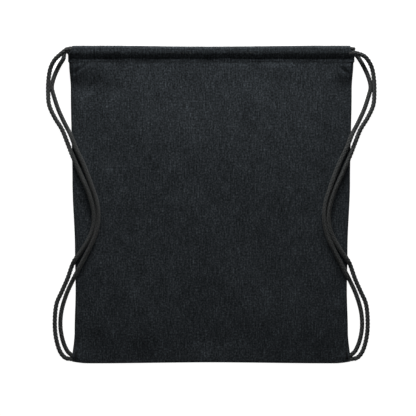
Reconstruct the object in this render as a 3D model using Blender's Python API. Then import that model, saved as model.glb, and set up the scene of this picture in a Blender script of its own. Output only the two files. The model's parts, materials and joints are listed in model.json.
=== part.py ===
"""Drawstring backpack, empty and lying flat on its back, mouth towards +Y.

Metres. X runs across the bag, Y from the bottom seam to the mouth, Z up from the back
panel. The origin is under the middle of the bag, on the plane that the back panel rests on.
A front and a back panel are sewn together round three sides. Each has a casing along its
top edge, and both drawcords run through both casings: the left cord turns round the right
end of the mouth and comes out at the left, and the right cord does the same the other way.
Both ends of each cord go down beside the bag as shoulder straps, into the bottom corner.
"""

import math

import bmesh
import bpy
from mathutils import Vector

# The bag
HALF_HEIGHT = 0.205
PANEL_THICKNESS = 0.0009
FACE_GAP = 0.0003
FRONT_UNDERSIDE = 0.0112
EDGE_TOP = 0.0034
SIDE_RISE = 0.032
SHOULDER_LOW = 0.155
PANEL_END = 0.1847
CORNER_REACH = 0.022
CORNER_LIFT = 0.0025
# Half the bag's width at heights from the bottom seam to the mouth
SIDE_OUTLINE = (
    (-0.205, 0.1808),
    (-0.165, 0.1775),
    (-0.110, 0.1762),
    (-0.060, 0.1770),
    (0.030, 0.1803),
    (0.150, 0.1825),
    (0.185, 0.1847),
)

# The casings, each a channel for two cords with a stitched hem below it
FLANGE_LOW = 0.185
CHANNEL_LOW = 0.1925
CASING_HEIGHT = 0.0062
CASING_WALL = 0.0006
CASING_ROUNDING = 0.0027
CHANNEL_ROUNDING = 0.0021
CASING_HALF = 0.172
HEM_START = 0.1723
HEM_END = 0.1790
HEM_FLARE = 0.0045

# The seams and stitching
SEAM_WIDTH = 0.005
OVERLOCK_WIDTH = 0.004
OVERLOCK_THICKNESS = 0.0007
STITCH_WIDTH = 0.0008
STITCH_THICKNESS = 0.0004
STITCH_LINE = 0.1872
TACK_WIDTH = 0.0016
TACK_LENGTH = 0.004
ANCHOR_LENGTH = 0.010
ANCHOR_INSET = 0.020
ANCHOR_Y = -0.197

# The drawcords
CORD_DIAMETER = 0.0045
CORD_RADIUS = CORD_DIAMETER / 2
UPPER_SLOT = 0.2014
LOWER_SLOT = 0.1961
RUN_END = 0.1785
TURN_X = 0.1790
BACK_RUN_Z = CASING_HEIGHT / 2
FRONT_RUN_Z = FRONT_UNDERSIDE + CASING_HEIGHT / 2
STRAND_START = RUN_END + FACE_GAP
STRAIGHT_END = STRAND_START + 0.0018
POINT_SPACING = 2 * CORD_DIAMETER

# Routes of the strap strands on the left side, from the casing's end to the bottom corner.
# The right side mirrors them, but its cord leaves by the lower slot, so its tops differ.
LEFT_OUTER_TOP = (
    (-STRAIGHT_END, UPPER_SLOT, FRONT_RUN_Z),
    (-0.1857, 0.2007, 0.0144),
    (-0.1900, 0.1980, 0.0141),
)
LEFT_INNER_TOP = (
    (-STRAIGHT_END, UPPER_SLOT, BACK_RUN_Z),
    (-0.1865, 0.2004, 0.0027),
    (-0.1907, 0.1965, 0.0024),
)
RIGHT_OUTER_TOP = (
    (-STRAIGHT_END, LOWER_SLOT, FRONT_RUN_Z),
    (-0.1862, 0.1958, 0.0143),
    (-0.1910, 0.1945, 0.0137),
)
RIGHT_INNER_TOP = (
    (-STRAIGHT_END, LOWER_SLOT, BACK_RUN_Z),
    (-0.1857, 0.1951, 0.0028),
    (-0.1895, 0.1926, 0.0025),
)
OUTER_ROUTE = (
    (-0.1976, 0.1920, 0.0116),
    (-0.2034, 0.1862, 0.0090),
    (-0.2086, 0.1760, 0.0058),
    (-0.2112, 0.1615, 0.0033),
    (-0.2117, 0.1448, 0.0024),
    (-0.2103, 0.1290, 0.0024),
    (-0.2032, 0.1130, 0.0024),
    (-0.1935, 0.0970, 0.0026),
    (-0.1862, 0.0788, 0.0048),
    (-0.1790, 0.0610, 0.0075),
    (-0.1696, 0.0400, 0.0112),
    (-0.1587, 0.0150, 0.0138),
    (-0.1524, -0.0090, 0.0147),
    (-0.1530, -0.0290, 0.0144),
    (-0.1590, -0.0450, 0.0131),
    (-0.1690, -0.0610, 0.0099),
    (-0.1790, -0.0755, 0.0058),
    (-0.1865, -0.0960, 0.0030),
    (-0.1940, -0.1130, 0.0024),
    (-0.2008, -0.1290, 0.0024),
    (-0.2030, -0.1500, 0.0024),
    (-0.2020, -0.1700, 0.0024),
    (-0.1972, -0.1885, 0.0024),
    (-0.1900, -0.1985, 0.0024),
    (-0.1813, -0.2006, 0.0024),
)
INNER_ROUTE = (
    (-0.1925, 0.1900, 0.0024),
    (-0.1975, 0.1825, 0.0024),
    (-0.2030, 0.1710, 0.0024),
    (-0.2062, 0.1600, 0.0024),
    (-0.2068, 0.1510, 0.0024),
    (-0.2040, 0.1400, 0.0024),
    (-0.1985, 0.1235, 0.0024),
    (-0.1905, 0.1060, 0.0026),
    (-0.1825, 0.0905, 0.0060),
    (-0.1755, 0.0730, 0.0090),
    (-0.1655, 0.0520, 0.0122),
    (-0.1555, 0.0260, 0.0144),
    (-0.1478, 0.0010, 0.0149),
    (-0.1465, -0.0210, 0.0149),
    (-0.1505, -0.0400, 0.0147),
    (-0.1590, -0.0590, 0.0131),
    (-0.1700, -0.0800, 0.0094),
    (-0.1805, -0.1000, 0.0042),
    (-0.1885, -0.1180, 0.0024),
    (-0.1945, -0.1390, 0.0024),
    (-0.1957, -0.1590, 0.0024),
    (-0.1925, -0.1770, 0.0024),
    (-0.1872, -0.1895, 0.0024),
    (-0.1823, -0.1946, 0.0024),
)

MATERIALS = {
    "cotton_cloth": ((0.024, 0.028, 0.032), 0.92),
    "channel_cloth": ((0.019, 0.022, 0.027), 0.90),
    "seam_thread": ((0.030, 0.033, 0.037), 0.80),
    "braided_cord": ((0.030, 0.032, 0.034), 0.85),
}


def clear_scene():
    for thing in list(bpy.data.objects):
        bpy.data.objects.remove(thing, do_unlink=True)


def make_materials():
    made = {}
    for name, (colour, roughness) in MATERIALS.items():
        material = bpy.data.materials.new(name)
        material.use_nodes = True
        shader = material.node_tree.nodes["Principled BSDF"]
        shader.inputs["Base Color"].default_value = (*colour, 1)
        shader.inputs["Roughness"].default_value = roughness
        shader.inputs["Metallic"].default_value = 0
        made[name] = material
    return made


def ease(value):
    """Rises smoothly from 0 to 1."""
    t = min(max(value, 0), 1)
    return t * t * (3 - 2 * t)


def half_width(y):
    """Half the bag's width at height y, on a smooth line through SIDE_OUTLINE."""
    y = min(max(y, SIDE_OUTLINE[0][0]), SIDE_OUTLINE[-1][0])
    for (low, first), (high, second) in zip(SIDE_OUTLINE, SIDE_OUTLINE[1:]):
        if y <= high:
            return first + (second - first) * ease((y - low) / (high - low))
    return SIDE_OUTLINE[-1][1]


def bottom_edge(x):
    """Height of the bottom seam, which lifts a little at each corner."""
    return -HALF_HEIGHT + CORNER_LIFT * max(0, 1 - (half_width(-HALF_HEIGHT) - abs(x)) / CORNER_REACH) ** 2


def front_top(x, y):
    """Top face of the front panel: it rises from the seams and meets the casing at full height."""
    side = math.sin(math.pi / 2 * min(max(half_width(y) - abs(x), 0) / SIDE_RISE, 1))
    foot = math.sin(math.pi / 2 * min(max(y - bottom_edge(x), 0) / SIDE_RISE, 1))
    shoulder = ease((y - SHOULDER_LOW) / (FLANGE_LOW - SHOULDER_LOW))
    share = side * foot + (1 - side * foot) * shoulder
    return EDGE_TOP + (FRONT_UNDERSIDE + PANEL_THICKNESS - EDGE_TOP) * share


def add_object(name, data, material):
    made = bpy.data.objects.new(name, data)
    bpy.context.scene.collection.objects.link(made)
    data.materials.append(material)
    return made


def mesh_object(name, bm, material, smooth=False):
    bmesh.ops.recalc_face_normals(bm, faces=bm.faces)
    mesh = bpy.data.meshes.new(name)
    bm.to_mesh(mesh)
    bm.free()
    if smooth:
        mesh.shade_smooth()
        mesh.set_sharp_from_angle(angle=math.radians(40))
    return add_object(name, mesh, material)


def slab(name, columns, rows, place, material):
    """A closed slab. place(column, row) gives its top and bottom corner there."""
    bm = bmesh.new()
    top = []
    bottom = []
    for row in rows:
        corners = [place(column, row) for column in columns]
        top.append([bm.verts.new(high) for high, _ in corners])
        bottom.append([bm.verts.new(low) for _, low in corners])
    for j in range(len(rows) - 1):
        for i in range(len(columns) - 1):
            square = ((j, i), (j, i + 1), (j + 1, i + 1), (j + 1, i))
            bm.faces.new([top[r][c] for r, c in square])
            bm.faces.new([bottom[r][c] for r, c in reversed(square)])
    around = [(0, i) for i in range(len(columns))]
    around += [(j, len(columns) - 1) for j in range(1, len(rows))]
    around += [(len(rows) - 1, i) for i in range(len(columns) - 2, -1, -1)]
    around += [(j, 0) for j in range(len(rows) - 2, 0, -1)]
    for (a, b), (c, d) in zip(around, around[1:] + around[:1]):
        bm.faces.new((top[a][b], bottom[a][b], bottom[c][d], top[c][d]))
    return mesh_object(name, bm, material, smooth=True)


def panel_columns(steps_over_rise):
    """Places across the bag from -1 to 1, closest together where the panel rises."""
    share = SIDE_RISE / half_width(0)
    rise = [share * i / steps_over_rise for i in range(steps_over_rise + 1)]
    half = [-1 + r for r in rise] + [-0.5, -0.2]
    return half + [-x for x in reversed(half)]


def panel_rows():
    """Shares of the panel's height, closest together over the bottom seam and the shoulder."""
    foot = [SIDE_RISE * (i / 5) ** 1.2 for i in range(6)]
    body = [0.060, 0.100, 0.145, 0.190, 0.235, 0.280, 0.320, 0.360]
    shoulder = [0.366, 0.372, 0.378, 0.384, PANEL_END + HALF_HEIGHT]
    return [height / (PANEL_END + HALF_HEIGHT) for height in foot + body + shoulder]


def panel_spot(column, row):
    foot = bottom_edge(column * half_width(-HALF_HEIGHT))
    y = foot + row * (PANEL_END - foot)
    return column * half_width(y), y


def make_panels(cloth):
    def front(column, row):
        x, y = panel_spot(column, row)
        z = front_top(x, y)
        return (x, y, z), (x, y, z - PANEL_THICKNESS)

    def back(column, row):
        x, y = panel_spot(column, row)
        return (x, y, PANEL_THICKNESS), (x, y, 0)

    slab("front_panel", panel_columns(6), panel_rows(), front, cloth)
    back_rows = [i / 14 for i in range(15)]
    slab("back_panel", (-1, -0.5, 0, 0.5, 1), back_rows, back, cloth)


def make_side_seam(side, name, cloth, thread):
    """The sewn side: a wall of seam allowance between the panels, and its overlocked inner edge."""
    low = PANEL_THICKNESS + FACE_GAP
    rows = [panel_spot(1, row)[1] for row in panel_rows()[2:]]

    def wall(column, y):
        x = side * (half_width(y) - SEAM_WIDTH * column)
        high = front_top(side * half_width(y), y) - PANEL_THICKNESS - FACE_GAP
        return (x, y, high), (x, y, low)

    def overlock(column, y):
        x = side * (half_width(y) - SEAM_WIDTH - FACE_GAP - OVERLOCK_WIDTH * column)
        return (x, y, low + OVERLOCK_THICKNESS), (x, y, low)

    slab(name + "_side_seam", (0, 1), rows, wall, cloth)
    slab(name + "_seam_overlock", (0, 1), rows, overlock, thread)


def make_bottom_seam(cloth, thread):
    low = PANEL_THICKNESS + FACE_GAP
    high = EDGE_TOP - PANEL_THICKNESS - FACE_GAP
    half = half_width(-HALF_HEIGHT) - 2 * SEAM_WIDTH - OVERLOCK_WIDTH
    places = [half * (i / 5 - 1) for i in range(11)]

    def allowance(column, x):
        y = bottom_edge(x) + FACE_GAP + SEAM_WIDTH * column
        return (x, y, high), (x, y, low)

    def overlock(column, x):
        y = bottom_edge(x) + 2 * FACE_GAP + SEAM_WIDTH + OVERLOCK_WIDTH * column
        return (x, y, low + OVERLOCK_THICKNESS), (x, y, low)

    slab("bottom_seam", (0, 1), places, allowance, cloth)
    slab("bottom_seam_overlock", (0, 1), places, overlock, thread)


def arc(centre, radius, first, last, steps):
    """Points (y, z) on an arc, with its angles in degrees."""
    angles = [math.radians(first + (last - first) * i / steps) for i in range(steps + 1)]
    return [(centre[0] + radius * math.cos(a), centre[1] + radius * math.sin(a)) for a in angles]


def casing_section(floor):
    """Outer and inner outline (y, z) of a casing whose flat side is at height floor."""
    far = CASING_ROUNDING
    roof = floor + CASING_HEIGHT
    flange_top = floor + PANEL_THICKNESS
    outer = [(FLANGE_LOW, floor), (FLANGE_LOW, flange_top), (CHANNEL_LOW, flange_top)]
    outer += arc((CHANNEL_LOW + far, roof - far), far, 180, 90, 4)
    outer += arc((HALF_HEIGHT - far, roof - far), far, 90, 0, 4)
    outer += arc((HALF_HEIGHT - far, floor + far), far, 0, -90, 4)
    near = CHANNEL_ROUNDING
    low_y, high_y = CHANNEL_LOW + CASING_WALL + near, HALF_HEIGHT - CASING_WALL - near
    low_z, high_z = floor + CASING_WALL + near, roof - CASING_WALL - near
    inner = arc((low_y, low_z), near, 270, 180, 3)
    inner += arc((low_y, high_z), near, 180, 90, 3)
    inner += arc((high_y, high_z), near, 90, 0, 3)
    inner += arc((high_y, low_z), near, 0, -90, 3)
    return outer, inner


def make_casing_length(name, floor, start, end, flare, material):
    """A length of casing from x = start to end. flare moves the end of its hem further out."""
    bm = bmesh.new()
    edges = []
    for loop in casing_section(floor):
        verts = [bm.verts.new((start, y, z)) for y, z in loop]
        edges += [bm.edges.new(pair) for pair in zip(verts, verts[1:] + verts[:1])]
    bmesh.ops.triangle_fill(bm, use_beauty=True, use_dissolve=False, edges=edges)
    grown = bmesh.ops.extrude_face_region(bm, geom=list(bm.faces))
    ends = [v for v in grown["geom"] if isinstance(v, bmesh.types.BMVert)]
    bmesh.ops.translate(bm, vec=(end - start, 0, 0), verts=ends)
    for vert in ends:
        if vert.co.y < CHANNEL_LOW - FACE_GAP:
            vert.co.x += flare
    return mesh_object(name, bm, material, smooth=True)


def make_casings(channel_cloth, moving):
    """Both casings and the turned hem at each of their four ends, which move with the mouth."""
    for name, floor in (("front", FRONT_UNDERSIDE), ("back", 0)):
        make_casing_length(name + "_casing", floor, -CASING_HALF, CASING_HALF, 0, channel_cloth)
        for end, side in (("left", -1), ("right", 1)):
            hem = make_casing_length(
                f"{name}_{end}_casing_hem",
                floor,
                side * HEM_START,
                side * HEM_END,
                side * HEM_FLARE,
                channel_cloth,
            )
            attach(hem, moving[end])


def make_stitching(thread):
    """The row of stitches that closes each casing's hem."""
    for name, floor in (
        ("front_hem_stitching", FRONT_UNDERSIDE + PANEL_THICKNESS + FACE_GAP),
        ("back_hem_stitching", PANEL_THICKNESS + FACE_GAP),
    ):

        def stitch(column, x, floor=floor):
            y = STITCH_LINE + STITCH_WIDTH * column
            return (x, y, floor + STITCH_THICKNESS), (x, y, floor)

        slab(name, (0, 1), (-CASING_HALF, 0, CASING_HALF), stitch, thread)


def make_tacks(side, name, thread):
    """A bar tack where the side seam ends below the casing, and one over the cords' ends."""
    low = PANEL_THICKNESS + FACE_GAP

    def vent(column, row):
        x = side * (half_width(FLANGE_LOW) - 0.001 - TACK_WIDTH * column)
        y = FLANGE_LOW + 0.0006 + TACK_LENGTH * row
        return (x, y, FRONT_UNDERSIDE - FACE_GAP), (x, y, low)

    def anchor(column, row):
        x = side * (half_width(ANCHOR_Y) - ANCHOR_INSET + ANCHOR_LENGTH * column)
        y = bottom_edge(0) + 2 * SEAM_WIDTH + OVERLOCK_WIDTH * row
        return (x, y, low + 2 * OVERLOCK_THICKNESS), (x, y, low + OVERLOCK_THICKNESS + FACE_GAP)

    slab(name + "_vent_tack", (0, 1), (0, 1), vent, thread)
    slab(name + "_cord_anchor_tack", (0, 1), (0, 1), anchor, thread)


def smooth_points(route, spacing):
    """Points at even spacing on a smooth curve through the route's points."""
    points = [Vector(p) for p in route]
    points = [2 * points[0] - points[1], *points, 2 * points[-1] - points[-2]]
    fine = []
    for a, b, c, d in zip(points, points[1:], points[2:], points[3:]):
        for i in range(16):
            t = i / 16
            fine.append(
                0.5 * (2 * b + (c - a) * t + (2 * a - 5 * b + 4 * c - d) * t**2 + (3 * b - a - 3 * c + d) * t**3)
            )
    fine.append(points[-2])
    along = [0.0]
    for a, b in zip(fine, fine[1:]):
        along.append(along[-1] + (b - a).length)
    steps = max(2, round(along[-1] / spacing))
    chosen = []
    k = 0
    for i in range(steps + 1):
        target = along[-1] * i / steps
        while k < len(along) - 2 and along[k + 1] < target:
            k += 1
        share = (target - along[k]) / (along[k + 1] - along[k])
        chosen.append(fine[k].lerp(fine[k + 1], share))
    return chosen


def make_cord(name, points, material):
    curve = bpy.data.curves.new(name, "CURVE")
    curve.dimensions = "3D"
    curve.bevel_depth = CORD_RADIUS
    curve.bevel_resolution = 2
    curve.use_fill_caps = True
    spline = curve.splines.new("POLY")
    spline.points.add(len(points) - 1)
    for point, place in zip(spline.points, points):
        point.co = (*place, 1)
    return add_object(name, curve, material)


def channel_run(side, slot):
    """A cord's way through both casings. It comes out at side and turns round the other end."""
    away = -side
    middle = (FRONT_RUN_Z + BACK_RUN_Z) / 2
    radius = (FRONT_RUN_Z - BACK_RUN_Z) / 2
    steps = round(2 * RUN_END / POINT_SPACING)
    line = [side * (RUN_END - 2 * RUN_END * i / steps) for i in range(steps + 1)]
    front = [(x, slot, FRONT_RUN_Z) for x in line]
    turn = []
    for i in range(1, 8):
        angle = math.pi / 2 - math.pi * i / 8
        turn.append((away * (TURN_X + radius * math.cos(angle)), slot, middle + radius * math.sin(angle)))
    back = [(x, slot, BACK_RUN_Z) for x in reversed(line)]
    return front + turn + back


def make_cords(material, moving):
    """Each cord's run in the casings and its two strap strands.

    A run moves with the end of the mouth that it turns round, so the left cord draws in
    the right end.
    """
    left_run = make_cord("left_cord_channel_run", channel_run(-1, UPPER_SLOT), material)
    right_run = make_cord("right_cord_channel_run", channel_run(1, LOWER_SLOT), material)
    attach(left_run, moving["right"])
    attach(right_run, moving["left"])
    for name, side, route in (
        ("left_outer_strand", 1, LEFT_OUTER_TOP + OUTER_ROUTE),
        ("left_inner_strand", 1, LEFT_INNER_TOP + INNER_ROUTE),
        ("right_outer_strand", -1, RIGHT_OUTER_TOP + OUTER_ROUTE),
        ("right_inner_strand", -1, RIGHT_INNER_TOP + INNER_ROUTE),
    ):
        points = smooth_points(route, POINT_SPACING)
        start = Vector((-STRAND_START, points[0].y, points[0].z))
        make_cord(name, [(side * p.x, p.y, p.z) for p in [start, *points]], material)


def make_mouth_ends():
    """An empty on each slide's axis, at the middle of each end of the mouth."""
    made = {}
    for name, side in (("left", -1), ("right", 1)):
        empty = bpy.data.objects.new(name + "_mouth_end", None)
        empty.location = (side * HEM_END, (UPPER_SLOT + LOWER_SLOT) / 2, (FRONT_RUN_Z + BACK_RUN_Z) / 2)
        bpy.context.scene.collection.objects.link(empty)
        made[name] = empty
    bpy.context.view_layer.update()
    return made


def attach(thing, parent):
    """Parents thing without moving it."""
    thing.parent = parent
    thing.matrix_parent_inverse = parent.matrix_world.inverted()


def main():
    clear_scene()
    looks = make_materials()
    moving = make_mouth_ends()
    make_panels(looks["cotton_cloth"])
    make_casings(looks["channel_cloth"], moving)
    make_stitching(looks["seam_thread"])
    make_bottom_seam(looks["cotton_cloth"], looks["seam_thread"])
    for name, side in (("left", -1), ("right", 1)):
        make_side_seam(side, name, looks["cotton_cloth"], looks["seam_thread"])
        make_tacks(side, name, looks["seam_thread"])
    make_cords(looks["braided_cord"], moving)


main()
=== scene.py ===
"""Looks of a drawstring backpack: cloth, casings, seams, stitches and braided drawcords.

Laid out as an add-on. Run as a script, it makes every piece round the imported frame.
"""

import json
import math

import bpy
import numpy as np
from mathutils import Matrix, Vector

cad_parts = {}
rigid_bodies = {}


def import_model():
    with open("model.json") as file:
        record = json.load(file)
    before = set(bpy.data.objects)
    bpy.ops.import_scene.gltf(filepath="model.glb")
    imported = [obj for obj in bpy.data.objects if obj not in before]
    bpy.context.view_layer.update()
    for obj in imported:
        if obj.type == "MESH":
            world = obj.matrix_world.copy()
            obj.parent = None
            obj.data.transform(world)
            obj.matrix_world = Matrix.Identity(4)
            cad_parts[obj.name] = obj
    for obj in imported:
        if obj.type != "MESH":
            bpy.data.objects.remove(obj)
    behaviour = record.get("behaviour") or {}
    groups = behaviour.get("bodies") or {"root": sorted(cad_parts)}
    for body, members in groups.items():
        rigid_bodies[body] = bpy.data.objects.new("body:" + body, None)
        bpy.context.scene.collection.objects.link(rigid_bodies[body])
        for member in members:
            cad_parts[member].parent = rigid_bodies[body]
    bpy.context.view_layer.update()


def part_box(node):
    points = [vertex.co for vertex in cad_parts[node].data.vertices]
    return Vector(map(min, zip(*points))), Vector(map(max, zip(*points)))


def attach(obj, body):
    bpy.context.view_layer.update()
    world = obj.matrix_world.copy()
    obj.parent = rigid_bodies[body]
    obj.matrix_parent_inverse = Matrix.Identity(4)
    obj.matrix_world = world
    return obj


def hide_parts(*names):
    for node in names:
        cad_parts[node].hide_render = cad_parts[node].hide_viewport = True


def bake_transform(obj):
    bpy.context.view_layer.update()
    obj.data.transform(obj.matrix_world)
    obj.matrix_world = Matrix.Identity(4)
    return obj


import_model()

bl_info = {
    "name": "Drawstring Backpack",
    "version": (1, 0, 0),
    "blender": (4, 5, 0),
    "location": "View3D > Sidebar > Backpack",
    "description": "Makes the cloth, seams and cords of a flat cotton drawstring backpack",
    "category": "Object",
}

# Bodies of the frame
BAG = "bag"
LEFT, RIGHT = -1, 1
SIDE_NAME = {LEFT: "left", RIGHT: "right"}

# The bag's outline: boxes from the frame, and each side's places as (y, half the width)
PANEL_LOW, PANEL_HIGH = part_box("front_panel")
FRONT_LOW, FRONT_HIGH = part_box("front_casing")
REAR_LOW, REAR_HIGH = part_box("back_casing")
FOOT_Y = PANEL_LOW.y
TOP_Y = FRONT_HIGH.y
PANEL_TOP = PANEL_HIGH.z
HEM_Y = FRONT_LOW.y
CASING_HALF = FRONT_HIGH.x
SIDE_OUTLINE = (
    (-0.205, 0.1808),
    (-0.165, 0.1775),
    (-0.110, 0.1762),
    (-0.060, 0.1770),
    (0.030, 0.1803),
    (0.150, 0.1825),
    (0.185, 0.1847),
)
EDGE_TOP = 0.0034
SIDE_RISE = 0.046
FOOT_RISE = 0.060
FOOT_TOP = 0.0078
SHOULDER_LOW = 0.150
CORNER_REACH = 0.022
CORNER_LIFT = 0.0025
FOOT_BOW = 0.0013
MOUTH_BOW = 0.0011

# The drawcords: their thickness, and the routes that the frame's cords follow, in metres
CORD_DIAMETER = 0.0045
UPPER_SLOT = 0.2014
LOWER_SLOT = 0.1961
RUN_END = 0.1785
STRAIGHT_END = RUN_END + 0.0021
TURN_X = 0.1790
BACK_RUN_Z = (REAR_LOW.z + REAR_HIGH.z) / 2
FRONT_RUN_Z = (FRONT_LOW.z + FRONT_HIGH.z) / 2
LEFT_OUTER_TOP = (
    (-STRAIGHT_END, UPPER_SLOT, FRONT_RUN_Z),
    (-0.1857, 0.2007, 0.0144),
    (-0.1900, 0.1980, 0.0141),
)
LEFT_INNER_TOP = (
    (-STRAIGHT_END, UPPER_SLOT, BACK_RUN_Z),
    (-0.1865, 0.2004, 0.0027),
    (-0.1907, 0.1965, 0.0024),
)
RIGHT_OUTER_TOP = (
    (-STRAIGHT_END, LOWER_SLOT, FRONT_RUN_Z),
    (-0.1862, 0.1958, 0.0143),
    (-0.1910, 0.1945, 0.0137),
)
RIGHT_INNER_TOP = (
    (-STRAIGHT_END, LOWER_SLOT, BACK_RUN_Z),
    (-0.1857, 0.1951, 0.0028),
    (-0.1895, 0.1926, 0.0025),
)
OUTER_ROUTE = (
    (-0.1976, 0.1920, 0.0116),
    (-0.2034, 0.1862, 0.0090),
    (-0.2086, 0.1760, 0.0058),
    (-0.2112, 0.1615, 0.0033),
    (-0.2117, 0.1448, 0.0024),
    (-0.2103, 0.1290, 0.0024),
    (-0.2032, 0.1130, 0.0024),
    (-0.1935, 0.0970, 0.0026),
    (-0.1862, 0.0788, 0.0048),
    (-0.1790, 0.0610, 0.0075),
    (-0.1696, 0.0400, 0.0112),
    (-0.1587, 0.0150, 0.0138),
    (-0.1524, -0.0090, 0.0147),
    (-0.1530, -0.0290, 0.0144),
    (-0.1590, -0.0450, 0.0131),
    (-0.1690, -0.0610, 0.0099),
    (-0.1790, -0.0755, 0.0058),
    (-0.1865, -0.0960, 0.0030),
    (-0.1940, -0.1130, 0.0024),
    (-0.2008, -0.1290, 0.0024),
    (-0.2030, -0.1500, 0.0024),
    (-0.2020, -0.1700, 0.0024),
    (-0.1972, -0.1885, 0.0024),
    (-0.1900, -0.1985, 0.0024),
    (-0.1813, -0.2006, 0.0024),
)
INNER_ROUTE = (
    (-0.1918, 0.1894, 0.0024),
    (-0.1965, 0.1817, 0.0024),
    (-0.2021, 0.1703, 0.0024),
    (-0.2057, 0.1598, 0.0024),
    (-0.2068, 0.1510, 0.0024),
    (-0.2040, 0.1400, 0.0024),
    (-0.1985, 0.1235, 0.0024),
    (-0.1905, 0.1060, 0.0026),
    (-0.1825, 0.0905, 0.0060),
    (-0.1755, 0.0730, 0.0090),
    (-0.1655, 0.0520, 0.0122),
    (-0.1555, 0.0260, 0.0144),
    (-0.1478, 0.0010, 0.0149),
    (-0.1465, -0.0210, 0.0149),
    (-0.1505, -0.0400, 0.0147),
    (-0.1590, -0.0590, 0.0131),
    (-0.1700, -0.0800, 0.0094),
    (-0.1805, -0.1000, 0.0042),
    (-0.1885, -0.1180, 0.0024),
    (-0.1945, -0.1390, 0.0024),
    (-0.1957, -0.1590, 0.0024),
    (-0.1925, -0.1770, 0.0024),
    (-0.1872, -0.1895, 0.0024),
    (-0.1823, -0.1946, 0.0024),
)
TUCKED_IN = 0.004

# How high the middle of a strap lies over what it rests on
STRAP_REST = 0.0024

# Cloth, and the height that faces of cloth and cord are kept above
CLOTH_THICKNESS = 0.0006
CASING_THICKNESS = 0.0005
HEM_THICKNESS = 0.0004
SEAM_THICKNESS = 0.0009
LOWEST = 0.0001

# How cloth rolls down at a seam, and the height that its edge comes to rest at
ROLL_RADIUS = 0.0022
FRONT_REST = 0.0012
BACK_REST = 0.0011
SEAM_HEIGHT = 0.0021

# Where the cord ends are sewn into the right bottom corner, and how far they lift the panel
CORD_CORNER = (0.1765, -0.1975)
CORD_BULGE = 0.0030

# Heights of the small folds that run from the seams into the front panel
RUFFLE = 0.0007
SEAM_PULL = 0.0008

# Sewing thread
TACK_THREAD = 0.00022
HEM_THREAD = 0.00024
OVERLOCK_THREAD = 0.00018
STITCH_RISE = 0.00030
STITCH_SINK = 0.0001

# Mesh spacing
GRID = 0.0015
EDGE_STEPS = (0, 0.00025, 0.0005, 0.0008, 0.0012, 0.0016, 0.0021, 0.0028, 0.0037, 0.0048)
SEED = 7


# ---------------------------------------------------------------- sizes and colours


class BackpackSizes(bpy.types.PropertyGroup):
    cord_diameter: bpy.props.FloatProperty(
        name="Cord diameter", description="Outside diameter of the drawcords",
        default=CORD_DIAMETER, unit="LENGTH", precision=4)
    braid_pitch: bpy.props.FloatProperty(
        name="Braid pitch", description="Length of cord in which one yarn goes once round",
        default=0.0184, unit="LENGTH", precision=4)
    thread_pitch: bpy.props.FloatProperty(
        name="Weave pitch", description="Distance between the cloth's threads",
        default=0.0008, unit="LENGTH", precision=5)
    stitch_length: bpy.props.FloatProperty(
        name="Stitch length", description="Length of one stitch of the hems",
        default=0.0033, unit="LENGTH", precision=4)
    pucker_spacing: bpy.props.FloatProperty(
        name="Pucker spacing", description="Usual distance between puckers along the casings",
        default=0.0046, unit="LENGTH", precision=4)
    pucker_height: bpy.props.FloatProperty(
        name="Pucker height", description="Height of the puckers along the casings",
        default=0.0005, unit="LENGTH", precision=5)
    wrinkle_height: bpy.props.FloatProperty(
        name="Wrinkle height", description="Height of the soft wrinkles in the panels",
        default=0.0011, unit="LENGTH", precision=5)


class BackpackColours(bpy.types.PropertyGroup):
    cloth: bpy.props.FloatVectorProperty(
        name="Cloth", description="Colour of the cotton cloth", subtype="COLOR", size=3,
        min=0, max=1, default=(0.0240, 0.0285, 0.0325))
    thread: bpy.props.FloatVectorProperty(
        name="Thread", description="Colour of the sewing thread", subtype="COLOR", size=3,
        min=0, max=1, default=(0.0130, 0.0145, 0.0165))
    cord: bpy.props.FloatVectorProperty(
        name="Cord", description="Colour of the braided cord", subtype="COLOR", size=3,
        min=0, max=1, default=(0.0740, 0.0780, 0.0780))
    floor: bpy.props.FloatVectorProperty(
        name="Floor", description="Colour of the studio floor", subtype="COLOR", size=3,
        min=0, max=1, default=(0.30, 0.30, 0.30))


def sizes():
    return bpy.context.scene.backpack_sizes


def colours():
    return bpy.context.scene.backpack_colours


# ---------------------------------------------------------------- shapes in numbers


def ease(value):
    t = np.clip(value, 0, 1)
    return t * t * (3 - 2 * t)


def directions(points):
    """The unit direction along a line at each of its points."""
    along = np.gradient(points, axis=0)
    return along / np.linalg.norm(along, axis=1)[:, None]


def distances(points):
    """How far along a line each of its points lies."""
    return np.concatenate([[0], np.cumsum(np.linalg.norm(np.diff(points, axis=0), axis=1))])


def half_width(y):
    """Half the bag's width at each y."""
    y = np.clip(y, SIDE_OUTLINE[0][0], SIDE_OUTLINE[-1][0])
    found = np.full(np.shape(y), SIDE_OUTLINE[-1][1])
    for (low, first), (high, second) in zip(SIDE_OUTLINE[::-1][1:], SIDE_OUTLINE[::-1]):
        part = first + (second - first) * ease((y - low) / (high - low))
        found = np.where(y <= high, part, found)
    return found


def bottom_line(x):
    """The foot's outline: it bows up a little along the middle and is lifted at the very corners."""
    corner = 1 - (half_width(FOOT_Y) - np.abs(x)) / CORNER_REACH
    return FOOT_Y + CORNER_LIFT * np.clip(corner, 0, None) ** 2 - FOOT_BOW * ease(np.abs(x) / 0.15)


def soft_noise(x, y, size, seed):
    """Smooth random heights from -1 to 1 over a plane, with features of about that size."""
    rng = np.random.default_rng(SEED * 1000 + seed)
    count = 97
    table = rng.uniform(-1, 1, (count, count))
    u, v = np.asarray(x, float) / size + 400.5, np.asarray(y, float) / size + 400.5
    i, j = np.floor(u).astype(int), np.floor(v).astype(int)
    a, b = ease(u - i), ease(v - j)
    near = table[i % count, j % count] * (1 - a) + table[(i + 1) % count, j % count] * a
    far = table[i % count, (j + 1) % count] * (1 - a) + table[(i + 1) % count, (j + 1) % count] * a
    return near * (1 - b) + far * b


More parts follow.
